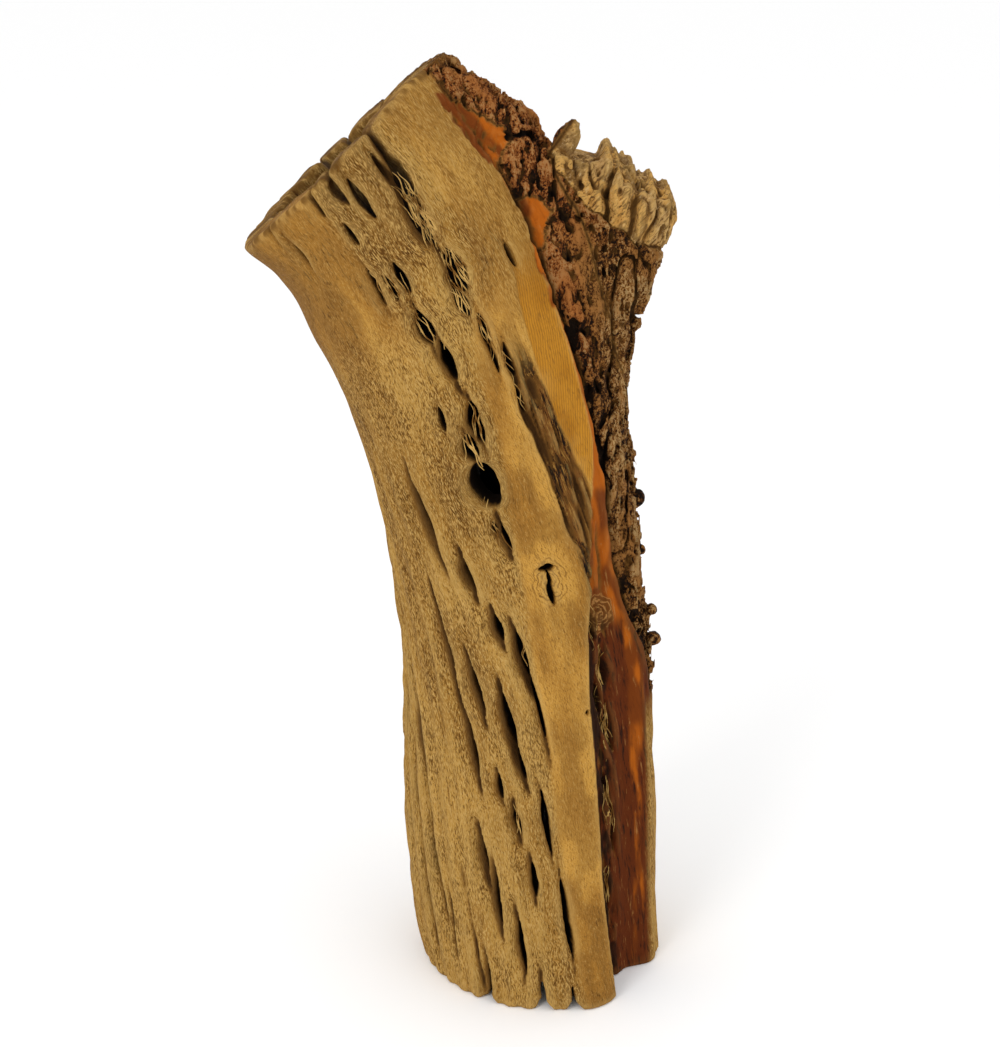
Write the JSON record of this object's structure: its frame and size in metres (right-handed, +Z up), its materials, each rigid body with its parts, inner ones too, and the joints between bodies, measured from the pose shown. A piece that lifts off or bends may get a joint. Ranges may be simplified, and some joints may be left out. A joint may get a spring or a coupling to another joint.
{
  "type": "cholla cactus skeleton",
  "caption": "Hollow dried cactus stem with a slotted wood lattice, bent and sawn at the top, with a torn side-branch stub and bark on its outer bend.",
  "frame": {"origin": "centre of the bounding box in plan, on the plane of the flat sawn foot", "axes": "+Z up along the lower trunk, +X towards the side branch and away from the bend, -Y towards the bare lattice front"},
  "size_m": [0.1546, 0.1091, 0.3525],
  "materials": {
    "dry_wood": "sanded dry wood, matt, tan, with dark pores and slots",
    "inner_bark": "smooth orange-brown inner bark, matt to satin",
    "outer_bark": "rough grey-brown crusty bark, matt, with black pits",
    "torn_fibre": "pale torn wood fibres, matt"
  },
  "bodies": {
    "root": {"cholla_skeleton": "dry_wood"}
  },
  "joints": []
}
